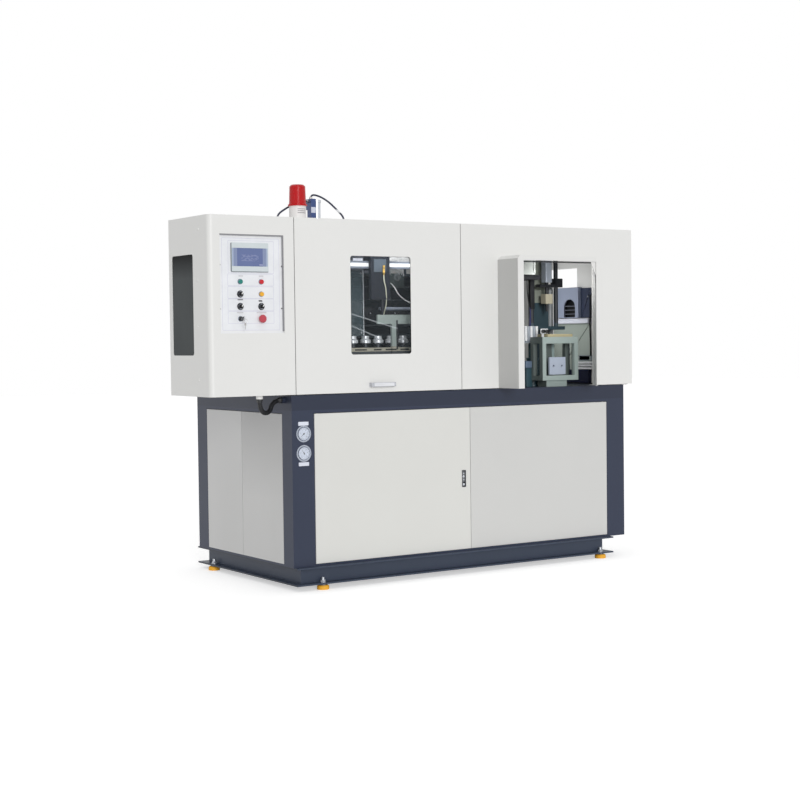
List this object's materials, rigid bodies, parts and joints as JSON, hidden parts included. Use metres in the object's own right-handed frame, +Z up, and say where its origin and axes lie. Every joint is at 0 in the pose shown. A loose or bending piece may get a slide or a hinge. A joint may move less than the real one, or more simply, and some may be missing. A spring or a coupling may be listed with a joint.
{
  "type": "blow moulding machine",
  "caption": "Stretch blow moulding machine: navy base with folding doors and gauges, white cabinet with control box, lift-up window door and open outlet hood.",
  "frame": {"origin": "middle of the footprint, on the floor under the levelling pads", "axes": "+X to the machine's right seen from the front, +Y to the rear, +Z up"},
  "size_m": [2.748, 1.295, 2.085],
  "materials": {
    "cabinet_white": "satin powder coat",
    "base_navy": "satin enamel",
    "door_grey": "satin powder coat",
    "panel_steel": "brushed",
    "pad_yellow": "gloss",
    "bright_steel": "brushed",
    "chrome_ring": "polished",
    "black_plastic": "matt",
    "plate_white": "satin",
    "screen_grey": "matt",
    "clear_pane": "clear",
    "smoked_pane": "smoked",
    "cap_green": "gloss",
    "cap_red": "gloss",
    "cap_yellow": "gloss",
    "lamp_red": "translucent gloss",
    "lamp_white": "gloss",
    "handle_grey": "satin",
    "hose_clear": "satin",
    "machine_green": "satin enamel",
    "machine_dark": "satin enamel",
    "fan_blue": "satin enamel",
    "bright_alu": "satin"
  },
  "bodies": {
    "machine": {"plinth_frame": "base_navy", "foot_pads": "pad_yellow", "foot_studs": "bright_steel", "base_frame": "base_navy", "deck_plate": "base_navy", "end_panel_front": "panel_steel", "end_panel_rear": "panel_steel", "base_right_panel": "door_grey", "base_rear_panel": "door_grey", "gauge_upper": "chrome_ring", "gauge_lower": "chrome_ring", "cabinet_frame": "machine_dark", "cabinet_roof": "cabinet_white", "cabinet_left_skin": "cabinet_white", "cabinet_rear_skin": "cabinet_white", "cabinet_right_skin": "cabinet_white", "right_front_panel": "cabinet_white", "outlet_hood": "cabinet_white", "control_box": "cabinet_white", "control_box_pane": "smoked_pane", "control_plate": "plate_white", "hmi_unit": "screen_grey", "switch_bezels": "chrome_ring", "beacon_base": "lamp_white", "beacon_dome": "lamp_red", "roof_valve_block": "machine_dark", "roof_cylinder": "bright_alu", "roof_hose_right": "hose_clear", "roof_hose_left": "hose_clear", "control_conduit": "black_plastic", "spindle_rail": "machine_green", "heater_box": "bright_steel", "clamp_frame": "machine_green", "stretch_column": "machine_green", "stretch_cylinder": "bright_alu", "outlet_frame": "machine_green", "fan_housing": "fan_blue"},
    "left_door": {"base_door_left": "door_grey", "latch_tray": "bright_steel"},
    "latch_lever": {"latch_lever": "bright_steel"},
    "right_door": {"base_door_right": "door_grey"},
    "window_door": {"window_door": "cabinet_white", "window_pane": "clear_pane", "window_door_handle": "handle_grey"},
    "upper_needle": {"gauge_upper_needle": "black_plastic"},
    "lower_needle": {"gauge_lower_needle": "black_plastic"},
    "green_button": {"button_green": "cap_green"},
    "red_button": {"button_red": "cap_red"},
    "yellow_button": {"button_yellow": "cap_yellow"},
    "mode_selector": {"selector_mode": "black_plastic"},
    "left_selector": {"selector_left": "black_plastic"},
    "right_selector": {"selector_right": "black_plastic"},
    "key_switch": {"key_switch": "bright_steel"},
    "emergency_stop": {"emergency_stop": "cap_red"},
    "spindle_train": {"spindle_train": "bright_alu"},
    "preform_carriage": {"preform_carriage": "machine_dark"},
    "clamp_platen": {"clamp_platen": "machine_green"},
    "stretch_crossbar": {"stretch_crossbar": "machine_dark"},
    "push_plate": {"push_plate": "bright_alu"}
  },
  "joints": [
    {"name": "left_door_hinge", "type": "hinge", "parent": "machine", "child": "left_door", "pos_m": [-0.765, -0.4525, 0.52], "axis": [0, 0, 1], "range_deg": [-100, 0]},
    {"name": "right_door_hinge", "type": "hinge", "parent": "machine", "child": "right_door", "pos_m": [1.158, -0.4525, 0.52], "axis": [0, 0, 1], "range_deg": [0, 100]},
    {"name": "latch_pivot", "type": "hinge", "parent": "left_door", "child": "latch_lever", "pos_m": [0.154, -0.4575, 0.553], "axis": [1, 0, 0], "range_deg": [-60, 0], "stiffness_Nm_per_rad": 0.05},
    {"name": "window_door_hinge", "type": "hinge", "parent": "machine", "child": "window_door", "pos_m": [-0.3745, -0.4515, 1.897], "axis": [1, 0, 0], "range_deg": [-85, 0]},
    {"name": "upper_needle_spindle", "type": "hinge", "parent": "machine", "child": "upper_needle", "pos_m": [-0.851, -0.468, 0.806], "axis": [0, 1, 0], "range_deg": [0, 270], "stiffness_Nm_per_rad": 0.002},
    {"name": "lower_needle_spindle", "type": "hinge", "parent": "machine", "child": "lower_needle", "pos_m": [-0.851, -0.468, 0.706], "axis": [0, 1, 0], "range_deg": [-100, 170], "stiffness_Nm_per_rad": 0.002},
    {"name": "green_button_travel", "type": "slide", "parent": "machine", "child": "green_button", "axis": [0, 1, 0], "range_m": [0, 0.004], "stiffness_N_per_m": 250, "springref_m": -0.002},
    {"name": "red_button_travel", "type": "slide", "parent": "machine", "child": "red_button", "axis": [0, 1, 0], "range_m": [0, 0.004], "stiffness_N_per_m": 250, "springref_m": -0.002},
    {"name": "yellow_button_travel", "type": "slide", "parent": "machine", "child": "yellow_button", "axis": [0, 1, 0], "range_m": [0, 0.004], "stiffness_N_per_m": 250, "springref_m": -0.002},
    {"name": "mode_selector_turn", "type": "hinge", "parent": "machine", "child": "mode_selector", "pos_m": [-1.198, -0.4565, 1.5165], "axis": [0, 1, 0], "range_deg": [-45, 45]},
    {"name": "left_selector_turn", "type": "hinge", "parent": "machine", "child": "left_selector", "pos_m": [-1.198, -0.4565, 1.455], "axis": [0, 1, 0], "range_deg": [-45, 45]},
    {"name": "right_selector_turn", "type": "hinge", "parent": "machine", "child": "right_selector", "pos_m": [-1.08, -0.4565, 1.455], "axis": [0, 1, 0], "range_deg": [-45, 45]},
    {"name": "key_turn", "type": "hinge", "parent": "machine", "child": "key_switch", "pos_m": [-1.198, -0.4565, 1.3935], "axis": [0, 1, 0], "range_deg": [0, 90]},
    {"name": "emergency_stop_travel", "type": "slide", "parent": "machine", "child": "emergency_stop", "axis": [0, 1, 0], "range_m": [0, 0.006]},
    {"name": "spindle_train_index", "type": "slide", "parent": "machine", "child": "spindle_train", "axis": [1, 0, 0], "range_m": [0, 0.08]},
    {"name": "preform_carriage_travel", "type": "slide", "parent": "machine", "child": "preform_carriage", "axis": [1, 0, 0], "range_m": [-0.35, 0.3]},
    {"name": "clamp_travel", "type": "slide", "parent": "machine", "child": "clamp_platen", "axis": [1, 0, 0], "range_m": [-0.12, 0.05]},
    {"name": "stretch_travel", "type": "slide", "parent": "machine", "child": "stretch_crossbar", "axis": [0, 0, 1], "range_m": [-0.12, 0]},
    {"name": "push_travel", "type": "slide", "parent": "machine", "child": "push_plate", "axis": [0, 1, 0], "range_m": [-0.05, 0.06]}
  ]
}
